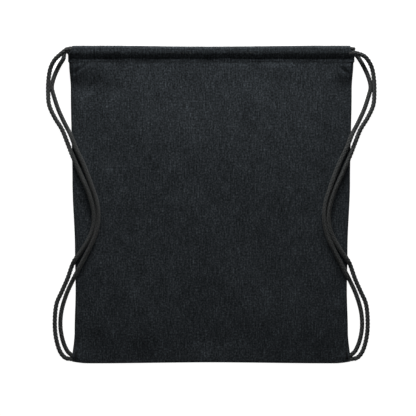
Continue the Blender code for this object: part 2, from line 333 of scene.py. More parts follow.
def hem_wave(x):
    """How far the hem's stitch line strays from the casing's lower edge."""
    return -0.0010 + 0.0006 * soft_noise(x, 0 * x, 0.016, 1) + 0.0003 * soft_noise(x, 0 * x, 0.006, 2)


def hem_line(x):
    return HEM_Y + hem_wave(x)


def puckers(x, seed):
    """Uneven small folds across X, from -1 to 1, sharper in the hollows."""
    spacing = sizes().pucker_spacing
    sway = 0.6 * spacing * soft_noise(x, 0 * x, 0.021, seed)
    fold = np.cos(2 * math.pi * (x + sway) / spacing)
    strength = 0.55 + 0.45 * soft_noise(x, 0 * x, 0.017, seed + 1)
    notch = 1 - 2 * np.abs(np.sin(math.pi * (x + sway) / spacing)) ** 1.4
    return notch * 0.5 * strength + 0.35 * fold * (1 - strength)


def hem_puckers(x):
    """Heights of the puckers that run on from the front casing into the panel."""
    return sizes().pucker_height * 1.2 * puckers(x, 21)


def crown(x, y):
    """Height of the front panel before any wrinkle: full inside, low along the seams."""
    side = np.sin(math.pi / 2 * np.clip((half_width(y) - np.abs(x)) / SIDE_RISE, 0, 1))
    foot = np.sin(math.pi / 2 * np.clip((y - bottom_line(x)) / FOOT_RISE, 0, 1))
    shoulder = ease((y - SHOULDER_LOW) / (HEM_Y - SHOULDER_LOW))
    full = FOOT_TOP + (PANEL_TOP - 0.001 - FOOT_TOP) * ease((y - FOOT_Y) / (TOP_Y - FOOT_Y))
    puffed = EDGE_TOP + (full - EDGE_TOP) * (side * foot) ** 1.3
    return puffed + (PANEL_TOP - puffed) * shoulder


def crease(x, y, start, end, width, depth):
    """A soft fold along the line from start to end: a hollow with a low ridge beside it."""
    ax, ay = start
    bx, by = end
    length = math.hypot(bx - ax, by - ay)
    ux, uy = (bx - ax) / length, (by - ay) / length
    along = ((x - ax) * ux + (y - ay) * uy) / length
    across = ((x - ax) * -uy + (y - ay) * ux) / width
    fade = ease(along / 0.35) * ease((1 - along) / 0.60)
    across = across + 0.5 * soft_noise(along * 0.01, 0 * along, 0.0035, 17)
    return depth * fade * (0.10 * np.exp(-((across - 1.2) ** 2)) - np.exp(-(across**2)))


def front_height(x, y):
    """Height of the front panel's face."""
    height = crown(x, y)
    inside = np.clip(half_width(y) - np.abs(x), 0, None)
    foot = np.clip(y - bottom_line(x), 0, None)
    near_hem = np.clip(hem_line(x) - y, 0, None)
    calm = ease(inside / 0.030) * ease(foot / 0.030) * ease(near_hem / 0.040)
    wrinkle = sizes().wrinkle_height
    broad = soft_noise(x + 0.25 * y, y * 0.7, 0.085, 14) - 0.6
    soft = soft_noise(x + 0.3 * y, y * 0.6, 0.036, 11) + 0.35 * soft_noise(x, y * 0.7, 0.019, 12)
    height = height + wrinkle * calm * (2.1 * broad + soft)
    height = height + hem_puckers(x) * np.exp(-near_hem / 0.007)
    drape = soft_noise(x, y * 0.2, 0.0105, 23) * np.exp(-near_hem / 0.030) * ease(near_hem / 0.006)
    height = height + RUFFLE * drape
    for side in (LEFT, RIGHT):
        height = height + crease(x * side, y, (0.1815, 0.1665), (0.1575, 0.1840), 0.0021, 0.0015)
        height = height + crease(x * side, y, (0.1700, 0.1380), (0.1300, 0.1740), 0.0060, 0.0006)
        seam = np.clip(half_width(y) - x * side, 0, None)
        pulls = 0.6 * soft_noise(y, 0 * y, 0.0065, 31 + side) * np.exp(-seam / 0.005)
        pulls = pulls + soft_noise(y + 0.4 * seam, 0 * y, 0.015, 36 + side) * np.exp(-seam / 0.016)
        height = height + SEAM_PULL * pulls * ease(seam / 0.004) * ease(near_hem / 0.020)
        corner_x, corner_y = CORD_CORNER
        bulge = np.exp(-(((x * side - corner_x) / 0.0075) ** 2) - ((y - corner_y) / 0.0062) ** 2)
        height = height + CORD_BULGE * bulge
    gather = 0.5 * soft_noise(x, 0 * x, 0.008, 35) * np.exp(-foot / 0.006)
    gather = gather + soft_noise(x, 0 * x, 0.019, 38) * np.exp(-foot / 0.018)
    return height + RUFFLE * gather * ease(foot / 0.004)


def rolled(height, rest, distance, radius):
    """Turns a surface down to rest over its last stretch, like the roll of cloth at a seam."""
    share = np.clip(distance / radius, 0, 1)
    return rest + (height - rest) * np.sqrt(1 - (1 - share) ** 2)


def smooth_curve(route, spacing):
    """Points at even spacing on a smooth curve through the route's points."""
    points = np.array([list(p) for p in route], float)
    points = np.vstack([2 * points[0] - points[1], points, 2 * points[-1] - points[-2]])
    t = np.linspace(0, 1, 24, endpoint=False)[:, None]
    fine = []
    for a, b, c, d in zip(points, points[1:], points[2:], points[3:]):
        bend = (2 * a - 5 * b + 4 * c - d) * t**2
        twist = (3 * b - a - 3 * c + d) * t**3
        fine.append(0.5 * (2 * b + (c - a) * t + bend + twist))
    fine = np.vstack([*fine, points[-2]])
    along = distances(fine)
    wanted = np.linspace(0, along[-1], max(2, round(along[-1] / spacing)) + 1)
    return np.stack([np.interp(wanted, along, fine[:, k]) for k in range(3)], axis=1)


def front_face(x, y):
    """Height of whatever a cord lies on: the front panel inside its outline, the floor outside."""
    inside = (np.abs(x) < half_width(y)) & (y > bottom_line(x))
    return np.where(inside, seam_roll(x, y, front_height(x, y), EDGE_TOP / 2), 0)


def laid_down(line, radius):
    """The strap's line, let down onto the floor and the front panel between its fixed ends."""
    along = directions(line[:, :2])
    touch = np.zeros(len(line))
    for offset in np.linspace(-0.8, 0.8, 5) * radius:
        under = front_face(line[:, 0] + along[:, 1] * offset, line[:, 1] - along[:, 0] * offset)
        touch = np.maximum(touch, under + math.sqrt(radius**2 - offset**2))
    spacing = np.linalg.norm(line[1] - line[0])
    reach = max(1, round(0.003 / spacing))
    padded = np.pad(touch, reach, mode="edge")
    high = np.max([padded[k : k + len(touch)] for k in range(2 * reach + 1)], axis=0)
    width = max(1, round(0.006 / spacing))
    window = np.hanning(2 * width + 3)[1:-1]
    smooth = np.convolve(np.pad(high, width, mode="edge"), window / window.sum(), mode="valid")
    free = ease((0.156 - line[:, 1]) / 0.020) * ease((line[:, 1] + 0.194) / 0.012)
    laid = line.copy()
    laid[:, 2] = line[:, 2] * (1 - free) + smooth * free
    return laid


# ---------------------------------------------------------------- meshes


def new_piece(name, verts, faces, uvs, material, hollow=None):
    """A mesh object. uvs holds one pair for each vertex, in metres along the cloth or yarn.

    hollow, from 0 to 1 at each vertex, tells how deep the place lies between its neighbours; it is painted
    shade that darkens the colour there.
    """
    mesh = bpy.data.meshes.new(name)
    mesh.from_pydata([tuple(v) for v in verts], [], [tuple(f) for f in faces])
    layer = mesh.uv_layers.new(name="Cloth")
    loops = np.empty(len(mesh.loops), np.int32)
    mesh.loops.foreach_get("vertex_index", loops)
    layer.data.foreach_set("uv", np.asarray(uvs, np.float32)[loops].ravel())
    # Painted shade: the depth between neighbours is stored so that the colour is darkened there
    if hollow is not None:
        depth = mesh.attributes.new("Painted gap shade", "FLOAT", "POINT")
        depth.data.foreach_set("value", np.asarray(hollow, np.float32))
    mesh.polygons.foreach_set("use_smooth", [True] * len(mesh.polygons))
    mesh.materials.append(material)
    mesh.update()
    piece = bpy.data.objects.new(name, mesh)
    bpy.context.scene.collection.objects.link(piece)
    return piece


def grid_faces(rows, columns, flip, wrap=False):
    """Quads over a grid of rows x columns vertices. wrap joins the last column to the first."""
    i, j = np.meshgrid(np.arange(rows - 1), np.arange(columns if wrap else columns - 1), indexing="ij")
    k = (j + 1) % columns
    near, far = i * columns, (i + 1) * columns
    faces = np.stack([near + j, near + k, far + k, far + j], axis=-1).reshape(-1, 4)
    return faces[:, ::-1] if flip else faces


def tube_faces(rings, sides, start):
    """Faces of a tube with closed ends, whose vertices come ring after ring from number start."""
    faces = [tuple(f + start) for f in grid_faces(rings, sides, False, wrap=True)]
    faces.append(tuple(start + k for k in reversed(range(sides))))
    faces.append(tuple(start + (rings - 1) * sides + k for k in range(sides)))
    return faces


def mark_borders_sharp(mesh):
    """Keeps the shading of a sheet's face from bending round its edge, so that joined halves match."""
    corners = np.empty(len(mesh.loops), np.int32)
    mesh.loops.foreach_get("edge_index", corners)
    used = np.bincount(corners, minlength=len(mesh.edges))
    mesh.edges.foreach_set("use_edge_sharp", used == 1)


def cloth_piece(name, points, uvs, upward, thickness=CLOTH_THICKNESS):
    """A sheet of cloth from a grid of points on its outer face, with its thickness behind it.

    upward tells whether the face points up (1) or down (-1) along the grid's first columns.
    """
    rows, columns = points.shape[:2]
    across = points[1:, 1] - points[:-1, 1]
    inward = points[:-1, 2] - points[:-1, 1]
    turned = np.cross(inward, across)[:, 2].sum() * upward < 0
    faces = grid_faces(rows, columns, turned)
    piece = new_piece(name, points.reshape(-1, 3), faces, uvs.reshape(-1, 2), cloth_finish())
    mark_borders_sharp(piece.data)
    thick = piece.modifiers.new("Thickness", "SOLIDIFY")
    thick.thickness = thickness
    thick.offset = -1
    return piece


def gather(piece, side):
    """Bakes the piece's placement into its mesh."""
    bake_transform(piece)


# ---------------------------------------------------------------- materials


FLOAT, VECTOR, COLOUR = "NodeSocketFloat", "NodeSocketVector", "NodeSocketColor"


def link(tree, out, into):
    tree.links.new(out, into)


def math_node(tree, operation, first, second=None):
    node = tree.nodes.new("ShaderNodeMath")
    node.operation = operation
    for socket, value in zip(node.inputs, (first, second)):
        if isinstance(value, (int, float)):
            socket.default_value = value
        elif value is not None:
            link(tree, value, socket)
    return node.outputs[0]


def weighted_sum(tree, total, *parts):
    """total plus every part's socket times its weight."""
    for socket, weight in parts:
        total = math_node(tree, "ADD", total, math_node(tree, "MULTIPLY", socket, weight))
    return total


def group_with(name, inputs, outputs):
    """An empty node group with the inputs and outputs named, each with its kind of socket."""
    group = bpy.data.node_groups.new(name, "ShaderNodeTree")
    for label, kind, default in inputs:
        socket = group.interface.new_socket(label, in_out="INPUT", socket_type=kind)
        if default is not None:
            socket.default_value = default
    for label, kind in outputs:
        group.interface.new_socket(label, in_out="OUTPUT", socket_type=kind)
    return group, group.nodes.new("NodeGroupInput"), group.nodes.new("NodeGroupOutput")


def stretched_noise(tree, vector, scale, detail):
    """Noise whose features are 1 / scale metres, along each axis of vector."""
    spread = tree.nodes.new("ShaderNodeVectorMath")
    spread.operation = "MULTIPLY"
    link(tree, vector, spread.inputs[0])
    spread.inputs[1].default_value = scale
    noise = tree.nodes.new("ShaderNodeTexNoise")
    noise.inputs["Scale"].default_value = 1
    noise.inputs["Detail"].default_value = detail
    noise.inputs["Roughness"].default_value = 0.6
    link(tree, spread.outputs[0], noise.inputs["Vector"])
    return noise.outputs["Fac"]


def weave_group():
    """Plain weave of slubby cotton: threads both ways, streaks along the warp, pale and dark flecks."""
    group, given, out = group_with(
        "Woven cotton",
        [("Vector", VECTOR, None), ("Pitch", FLOAT, 0.0009)],
        [("Height", FLOAT), ("Shade", FLOAT)],
    )
    parts = group.nodes.new("ShaderNodeSeparateXYZ")
    link(group, given.outputs["Vector"], parts.inputs[0])
    turns = math_node(group, "DIVIDE", math.pi, given.outputs["Pitch"])
    warp = math_node(group, "SINE", math_node(group, "MULTIPLY", parts.outputs[0], turns))
    weft = math_node(group, "SINE", math_node(group, "MULTIPLY", parts.outputs[1], turns))
    over = math_node(group, "MULTIPLY", warp, weft)
    streak = stretched_noise(group, given.outputs["Vector"], (620, 75, 1), 1)
    slub = stretched_noise(group, given.outputs["Vector"], (120, 700, 1), 1)
    patch = stretched_noise(group, given.outputs["Vector"], (52, 30, 1), 2)
    fleck = stretched_noise(group, given.outputs["Vector"], (500, 430, 1), 1)
    shade = weighted_sum(
        group, -3.25, (streak, 1.9), (patch, 0.9), (slub, 0.6), (fleck, 3.3), (over, 0.16))
    height = weighted_sum(group, 0.0, (over, 0.5), (fleck, 0.8), (streak, 0.8))
    link(group, shade, out.inputs["Shade"])
    link(group, height, out.inputs["Height"])
    return group


def yarn_group():
    """Twisted cotton yarn: fine fibres that run round it at a slant."""
    group, given, out = group_with(
        "Twisted yarn", [("Vector", VECTOR, None)], [("Height", FLOAT), ("Shade", FLOAT)])
    parts = group.nodes.new("ShaderNodeSeparateXYZ")
    link(group, given.outputs["Vector"], parts.inputs[0])
    slant = math_node(group, "ADD", parts.outputs[0], parts.outputs[1])
    ply = math_node(group, "SINE", math_node(group, "MULTIPLY", slant, 2 * math.pi / 0.0011))
    fibre = stretched_noise(group, given.outputs["Vector"], (700, 2600, 1), 3)
    patch = stretched_noise(group, given.outputs["Vector"], (190, 90, 1), 2)
    height = weighted_sum(group, fibre, (ply, 0.5))
    shade = weighted_sum(group, -0.8, (fibre, 0.9), (patch, 0.7))
    link(group, shade, out.inputs["Shade"])
    link(group, height, out.inputs["Height"])
    return group


def dye_and_painted_shade_group():
    """Cotton dye and painted shade: the shade, a random tone, darkens and lightens the colour, and painted
    shade darkens the deep places between yarns.
    """
    group, given, out = group_with(
        "Dyed cotton and painted shade",
        [("Shade", FLOAT, 0), ("Contrast", FLOAT, 1), ("Colour", COLOUR, None), ("Painted gap shade", FLOAT, 0),
         ("Roughness", FLOAT, 0.9)],
        [("Colour", COLOUR), ("Roughness", FLOAT)],
    )
    varied = math_node(group, "MULTIPLY", given.outputs["Shade"], given.outputs["Contrast"])
    factor = math_node(group, "POWER", math.e, varied)
    # Painted shade: the colour is darkened where the yarns lie deep between their neighbours
    factor = math_node(group, "MULTIPLY", factor, weighted_sum(group, 1.0, (given.outputs["Painted gap shade"], -0.95)))
    tint = group.nodes.new("ShaderNodeVectorMath")
    tint.operation = "SCALE"
    link(group, given.outputs["Colour"], tint.inputs[0])
    link(group, factor, tint.inputs["Scale"])
    link(group, tint.outputs[0], out.inputs["Colour"])
    rough = weighted_sum(group, given.outputs["Roughness"], (given.outputs["Shade"], -0.05))
    link(group, rough, out.inputs["Roughness"])
    return group


def shared_group(name, maker):
    return bpy.data.node_groups.get(name) or maker()


def fabric_material(name, pattern_group, colour, contrast, roughness, sheen, bump, distance):
    """A cotton finish: the group's shade varies the colour, and its height gives the relief."""
    material = bpy.data.materials.new(name)
    material.use_nodes = True
    tree = material.node_tree
    shader = tree.nodes["Principled BSDF"]
    shader.inputs["Metallic"].default_value = 0
    shader.inputs["Sheen Weight"].default_value = sheen
    shader.inputs["Sheen Roughness"].default_value = 0.45
    shader.inputs["Specular IOR Level"].default_value = 0.12
    flat = tree.nodes.new("ShaderNodeUVMap")
    flat.uv_map = "Cloth"
    pattern = tree.nodes.new("ShaderNodeGroup")
    pattern.name = "Pattern"
    pattern.node_tree = pattern_group
    link(tree, flat.outputs["UV"], pattern.inputs["Vector"])
    dye_and_shade = tree.nodes.new("ShaderNodeGroup")
    dye_and_shade.name = "Dye and painted shade"
    dye_and_shade.node_tree = shared_group("Dyed cotton and painted shade", dye_and_painted_shade_group)
    dye_and_shade.inputs["Contrast"].default_value = contrast
    dye_and_shade.inputs["Colour"].default_value = (*colour, 1)
    dye_and_shade.inputs["Roughness"].default_value = roughness
    link(tree, pattern.outputs["Shade"], dye_and_shade.inputs["Shade"])
    link(tree, dye_and_shade.outputs["Colour"], shader.inputs["Base Color"])
    link(tree, dye_and_shade.outputs["Roughness"], shader.inputs["Roughness"])
    relief = tree.nodes.new("ShaderNodeBump")
    relief.inputs["Strength"].default_value = bump
    relief.inputs["Distance"].default_value = distance
    link(tree, pattern.outputs["Height"], relief.inputs["Height"])
    link(tree, relief.outputs["Normal"], shader.inputs["Normal"])
    return material


def cloth_finish():
    found = bpy.data.materials.get("Black cotton finish")
    if found:
        return found
    material = fabric_material(
        "Black cotton finish", shared_group("Woven cotton", weave_group), colours().cloth,
        contrast=1.0, roughness=0.90, sheen=0.03, bump=0.6, distance=0.0002)
    material.node_tree.nodes["Pattern"].inputs["Pitch"].default_value = sizes().thread_pitch
    return material


def thread_finish():
    return bpy.data.materials.get("Sewing thread finish") or fabric_material(
        "Sewing thread finish", shared_group("Twisted yarn", yarn_group), colours().thread,
        contrast=0.8, roughness=0.62, sheen=0.05, bump=0.4, distance=0.0001)


def cord_with_painted_shade():
    """The cord's own finish, with painted shade darkening the places between its yarns."""
    found = bpy.data.materials.get("Braided cord with painted shade")
    if found:
        return found
    material = fabric_material(
        "Braided cord with painted shade", shared_group("Twisted yarn", yarn_group), colours().cord,
        contrast=1.0, roughness=0.80, sheen=0.15, bump=0.6, distance=0.0002)
    # Painted shade: each vertex's depth between the yarns darkens the cord's colour
    hollow = material.node_tree.nodes.new("ShaderNodeAttribute")
    hollow.attribute_name = "Painted gap shade"
    link(material.node_tree, hollow.outputs["Fac"], material.node_tree.nodes["Dye and painted shade"].inputs["Painted gap shade"])
    return material


# ---------------------------------------------------------------- cords


def carried_frames(points):
    """Two directions across the line at each of its points, carried along it without twist."""
    along = directions(points)
    first = np.empty_like(points)
    side = np.cross(along[0], (0, 0, 1.0))
    first[0] = side / np.linalg.norm(side)
    for k in range(1, len(points)):
        moved = first[k - 1] - along[k] * (first[k - 1] @ along[k])
        first[k] = moved / np.linalg.norm(moved)
    return along, first, np.cross(along, first)


def cord_line(side):
    """The whole line of a cord that comes out at that side: strap, front casing, turn, back casing, strap."""
    slot = UPPER_SLOT if side == LEFT else LOWER_SLOT
    outer = (LEFT_OUTER_TOP if side == LEFT else RIGHT_OUTER_TOP) + OUTER_ROUTE
    inner = (LEFT_INNER_TOP if side == LEFT else RIGHT_INNER_TOP) + INNER_ROUTE
    spacing = sizes().braid_pitch / 20

    def strap(route):
        line = smooth_curve(route, spacing)
        line[:, 0] *= -side
        line = laid_down(line, STRAP_REST)
        line[:, 0] *= -side
        last = line[-1] - line[-2]
        last[2] = 0
        count = round(TUCKED_IN / spacing)
        inside = line[-1] + np.arange(1, count + 1)[:, None] * last / np.linalg.norm(last) * spacing
        return np.vstack([line, inside])

    middle, radius = (FRONT_RUN_Z + BACK_RUN_Z) / 2, (FRONT_RUN_Z - BACK_RUN_Z) / 2
    x = np.linspace(-RUN_END, TURN_X, round((RUN_END + TURN_X) / spacing) + 1)
    angle = np.linspace(math.pi / 2, -math.pi / 2, round(math.pi * radius / spacing) + 1)[1:-1]
    front = np.stack([x, 0 * x + slot, 0 * x + FRONT_RUN_Z], axis=1)
    around_x, around_z = TURN_X + radius * np.cos(angle), middle + radius * np.sin(angle)
    turn = np.stack([around_x, 0 * angle + slot, around_z], axis=1)
    back = np.stack([x[::-1], 0 * x + slot, 0 * x + BACK_RUN_Z], axis=1)
    first, last = strap(outer)[::-1], strap(inner)
    line = np.vstack([first, front, turn, back, last])
    marks = np.cumsum([len(first), len(front), len(turn), len(back)])
    line[:, 0] *= -side
    return line, marks


def braid(name, line, frames, turned, material, fullness):
    """Yarns braided over and under each other along a stretch of the line, round a core.

    turned is how far round the cord the yarns have gone at each point, in radians.
    """
    along, first, second = frames
    size = sizes().cord_diameter / CORD_DIAMETER * fullness
    sides = 6
    verts, faces, uvs, painted_gap_shades, count = [], [], [], [], 0
    round_yarn = np.linspace(0, 2 * math.pi, sides, endpoint=False)
    travelled = turned * sizes().braid_pitch / (2 * math.pi)
    for yarn in range(9):
        if yarn < 8:
            way = 1 if yarn % 2 else -1
            angle = way * turned + (yarn // 2) * math.pi / 2
            over = way * np.cos(4 * turned)
            radius = size * (0.00182 + 0.00040 * over)
            wide, thick = 0.00122 * size, 0.00080 * size
        else:
            angle, radius, wide, thick = turned * 0, turned * 0, 0.0012 * size, 0.0012 * size
            over = turned * 0 - 1
            way = 0
        out = first * np.cos(angle)[:, None] + second * np.sin(angle)[:, None]
        across = second * np.cos(angle)[:, None] - first * np.sin(angle)[:, None]
        slope = way * 2 * math.pi * radius / sizes().braid_pitch
        lean = across - along * slope[:, None]
        lean /= np.linalg.norm(lean, axis=1)[:, None]
        centre = line + out * radius[:, None]
        ring = (
            centre[:, None]
            + lean[:, None] * (wide * np.cos(round_yarn))[None, :, None]
            + out[:, None] * (thick * np.sin(round_yarn))[None, :, None]
        )
        ring[..., 2] = np.maximum(ring[..., 2], LOWEST)
        verts.append(ring.reshape(-1, 3))
        faces += tube_faces(len(line), sides, count)
        u = np.repeat(travelled + 0.37 * yarn, sides)
        v = np.tile(round_yarn * wide, len(line)) + 0.013 * yarn
        uvs.append(np.stack([u, v], axis=1))
        # Painted shade: darker where a yarn goes under its neighbours and along each yarn's sides, where it
        # meets them
        painted_gap_shade = 0.60 * (0.5 - 0.5 * over)[:, None] + 0.40 * (np.abs(np.cos(round_yarn)) ** 2)[None, :]
        painted_gap_shades.append(painted_gap_shade.ravel())
        count += len(line) * sides
    return new_piece(name, np.vstack(verts), faces, np.vstack(uvs), material, np.concatenate(painted_gap_shades))


def make_cord(side):
    """One drawcord, cut into pieces: two straps, and its runs in the casings."""
    name = SIDE_NAME[side]
    line, marks = cord_line(side)
    frames = carried_frames(line)
    step = distances(line)
    turned = step * 2 * math.pi / sizes().braid_pitch
    finish = cord_with_painted_shade()
    half = (marks[1] - marks[0]) // 2
    spans = {
        f"{name}_outer_strand": (0, marks[0] + 1),
        f"{name}_inner_strand": (marks[3] - 1, len(line)),
        f"{name}_cord_front_run_near": (marks[0], marks[0] + half + 1),
        f"{name}_cord_turn_and_far_run": (marks[0] + half, marks[3] - half),
        f"{name}_cord_back_run_near": (marks[3] - half - 1, marks[3]),
    }
    for piece_name, (start, end) in spans.items():
        part = [f[start:end] for f in frames]
        fullness = 1.04 if "strand" in piece_name else 0.80
        piece = braid(piece_name, line[start:end], part, turned[start:end], finish, fullness)
        if "strand" in piece_name:
            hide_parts(piece_name)
            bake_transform(piece)
            stretch = line[start:end]
            if "outer" in piece_name:
                stretch = stretch[::-1]
        else:
            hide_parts(f"{name}_cord_channel_run")
            gather(piece, -side if "far" in piece_name else side)


# ---------------------------------------------------------------- cloth


def spread_from(edge_steps, length, step):
    """Distances from an edge: close together at the edge, then even."""
    rest = np.arange(edge_steps[-1] + step, length - step / 2, step)
    return np.concatenate([edge_steps, rest, [length]])


def panel_grid(side, top):
    """x and y over one half of a panel: side seam to middle, and foot to top line."""
    step = GRID * 1
    across = spread_from(EDGE_STEPS, half_width(0.0), step) / half_width(0.0)
    up = spread_from(EDGE_STEPS, 2 * TOP_Y, step) / (2 * TOP_Y)
    u, v = np.meshgrid(1 - across, up)
    foot = bottom_line(u * half_width(FOOT_Y))
    y = foot + v * (SIDE_OUTLINE[-1][0] - foot)
    x = u * half_width(y)
    high = top(x * side)
    y = foot + v * (high - foot)
    x = u * half_width(y) * side
    return x, y


def seam_roll(x, y, height, rest):
    """The panel's edge: it rolls down to the side seam and to the foot seam."""
    tall = np.clip(crown(x, y) - EDGE_TOP, 0, None)
    side_gap = np.clip(half_width(y) - np.abs(x), 0, None)
    height = rolled(height, rest, side_gap, ROLL_RADIUS + 0.35 * tall * ease((y - 0.12) / 0.05))
    return rolled(height, rest, np.clip(y - bottom_line(x), 0, None), ROLL_RADIUS)


def make_front_panel():
    for side in (LEFT, RIGHT):
        x, y = panel_grid(side, hem_line)
        corner_x, corner_y = CORD_CORNER
        over_cords = np.exp(-(((np.abs(x) - corner_x) / 0.010) ** 2) - ((y - corner_y) / 0.008) ** 2)
        rest = FRONT_REST * (1 + over_cords)
        z = seam_roll(x, y, front_height(x, y), rest)
        points = np.stack([x, y, z], axis=-1)
        uvs = np.stack([x, y], axis=-1)
        piece = cloth_piece(f"front_panel_{SIDE_NAME[side]}", points, uvs, 1)
        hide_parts("front_panel")
        gather(piece, side)


def make_back_panel():
    for side in (LEFT, RIGHT):
        x, y = panel_grid(side, hem_line)
        side_gap = np.clip(half_width(y) - np.abs(x), 0, None)
        foot_gap = np.clip(y - bottom_line(x), 0, None)
        wave = 0.00012 * (1 + soft_noise(x, y, 0.040, 41))
        z = rolled(LOWEST + wave, BACK_REST, side_gap, ROLL_RADIUS)
        z = rolled(z, BACK_REST, foot_gap, ROLL_RADIUS)
        points = np.stack([x, y, z], axis=-1)
        uvs = np.stack([x, y + 0.5], axis=-1)
        piece = cloth_piece(f"back_panel_{SIDE_NAME[side]}", points, uvs, -1)
        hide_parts("back_panel")
        gather(piece, side)


# Each casing's outline across the mouth, from its stitch line over the cords and back, in
# metres from the stitch line and from the casing's flat side
FRONT_FOLD = (
    (0.0000, 0.0009),
    (0.0020, 0.0013),
    (0.0042, 0.0011),
    (0.0062, 0.0009),
    (0.0077, 0.0028),
    (0.0094, 0.0050),
    (0.0120, 0.0059),
    (0.0143, 0.0062),
    (0.0165, 0.0063),
    (0.0184, 0.0053),
    (0.0196, 0.0034),
    (0.0197, 0.0018),
    (0.0186, 0.0004),
    (0.0160, -0.0001),
    (0.0110, -0.0001),
    (0.0060, -0.0001),
    (0.0006, 0.0000),
)
BACK_FOLD = (
    (0.0000, 0.0002),
    (0.0060, 0.0002),
    (0.0120, 0.0001),
    (0.0165, 0.0002),
    (0.0188, 0.0008),
    (0.0198, 0.0024),
    (0.0197, 0.0040),
    (0.0184, 0.0056),
    (0.0163, 0.0062),
    (0.0140, 0.0060),
    (0.0117, 0.0061),
    (0.0096, 0.0053),
    (0.0079, 0.0034),
    (0.0064, 0.0018),
    (0.0040, 0.0013),
    (0.0006, 0.0012),
)


def fold_outline(fold, floor):
    step = 0.0008
    outline = smooth_curve([(0, HEM_Y + y, floor + z) for y, z in fold], step)
    along = directions(outline)
    outward = 1 if fold is FRONT_FOLD else -1
    across = outward * np.stack([0 * along[:, 0], -along[:, 2], along[:, 1]], axis=1)
    return outline, across, distances(outline)


def casing_surface(x, fold, floor, seed):
    """Points of a casing's face for an array of x, with its puckers, and their places on the flat cloth."""
    outline, across, length = fold_outline(fold, floor)
    height = sizes().pucker_height
    x = np.asarray(x)[:, None]
    y0, z0 = outline[None, :, 1], outline[None, :, 2]
    outward = length[None, :] / length[-1]
    reach = ease(length / 0.004) * ease((length[-1] - length) / 0.004)
    on_cords = np.exp(-(((y0 - 0.1990) / 0.0060) ** 2)) * (z0 > floor + 0.003 if fold is FRONT_FOLD else 1)
    fold_size = 0.45 + 0.9 * on_cords
    folds = puckers(x + 0.0012 * outward, seed) * fold_size
    fine = 0.35 * soft_noise(x, outward * 0.03, 0.0042, seed + 3)
    fine = fine + 0.5 * soft_noise(x, outward * 0.02, 0.011, seed + 4)
    lift = height * (folds + fine) * reach[None, :]
    wander = 0.0015 * soft_noise(x, 0 * x, 0.024, seed + 6)
    hollow = np.exp(-(((y0 - (HEM_Y + 0.0040 + wander)) / 0.0013) ** 2))
    deep = 0.0011 * hollow * (0.30 + soft_noise(x, 0 * x, 0.014, seed + 5)) * reach[None, :]
    lift = lift - np.where(outward < 0.4, deep, 0) * (fold is FRONT_FOLD)
    top_share = ease((y0 - 0.1950) / 0.008)
    lift = lift * (1 - 0.55 * top_share)
    stray = hem_wave(x) * np.exp(-((y0 - HEM_Y) / 0.0035))
    sag = MOUTH_BOW * (ease(np.abs(x) / 0.14) - 0.6) * top_share
    flank = -0.0024 * np.abs(soft_noise(x, 0 * x, 0.017, seed + 7)) * np.exp(-(((y0 - 0.1925) / 0.0016) ** 2))
    y = y0 + across[None, :, 1] * lift + stray + sag + flank * (outward < 0.4)
    z = z0 + across[None, :, 2] * lift
    if fold is FRONT_FOLD:
        z = z + hem_puckers(x) * np.exp(-length[None, :] / 0.004)
    else:
        z = np.maximum(z, LOWEST)
    points = np.stack([np.broadcast_to(x, y.shape), y, z], axis=-1)
    uvs = np.stack([np.broadcast_to(x, y.shape), np.broadcast_to(HEM_Y + length[None, :], y.shape)], axis=-1)
    return points, uvs


# Each casing's outline, the height of its underside, its seed, and whether its first stretch
# faces up (1) or down (-1)
CASINGS = {
    "front": (FRONT_FOLD, FRONT_LOW.z, 50, 1),
    "back": (BACK_FOLD, REAR_LOW.z, 60, -1),
}


def make_casings():
    step = 0.0008
    for name, (fold, floor, seed, upward) in CASINGS.items():
        for side in (LEFT, RIGHT):
            x = side * np.linspace(0, CASING_HALF, round(CASING_HALF / step) + 1)
            points, uvs = casing_surface(x, fold, floor, seed)
            piece = cloth_piece(f"{name}_casing_{SIDE_NAME[side]}", points, uvs, upward, CASING_THICKNESS)
            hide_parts(f"{name}_casing")
            gather(piece, side)


def make_casing_hems():
    """The casings' open ends: the cloth goes on to the end, rolls in and lies double inside."""
    for name, (fold, floor, seed, upward) in CASINGS.items():
        for side in (LEFT, RIGHT):
            node = f"{name}_{SIDE_NAME[side]}_casing_hem"
            low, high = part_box(node)
            tube_end = TURN_X + 0.0004
            flange_end = max(abs(low.x), abs(high.x)) + 0.0012
            outer_rows, round_rows, inner_rows = 10, 4, 7
            round_end = 1 + 0.06 * np.sin(np.linspace(0.3, 1.4, round_rows))
            share = np.concatenate(
                [np.linspace(0, 1, outer_rows), round_end, np.linspace(1, 0.35, inner_rows)])
            turned = np.concatenate(
                [np.zeros(outer_rows), np.linspace(0.2, 1, round_rows), np.ones(inner_rows)])
            x = side * (CASING_HALF + share * (tube_end - CASING_HALF))
            points, uvs = casing_surface(x, fold, floor, seed)
            _, across, _ = fold_outline(fold, floor)
            flare = ease((TOP_Y - 0.0035 - points[..., 1]) / 0.0095) * share.clip(0, 1)[:, None]
            points[..., 0] += side * flare * (flange_end - tube_end)
            inward = 0.0008 * turned[:, None]
            points[..., 1] -= across[None, :, 1] * inward
            points[..., 2] -= across[None, :, 2] * inward
            points[..., 2] = np.maximum(points[..., 2], LOWEST)
            along = side * (CASING_HALF + np.arange(len(x)) * 0.0007)
            uvs[..., 0] = along[:, None]
            piece = cloth_piece(node, points, uvs, upward, HEM_THICKNESS)
            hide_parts(node)
            gather(piece, side)


# ---------------------------------------------------------------- seams and stitches


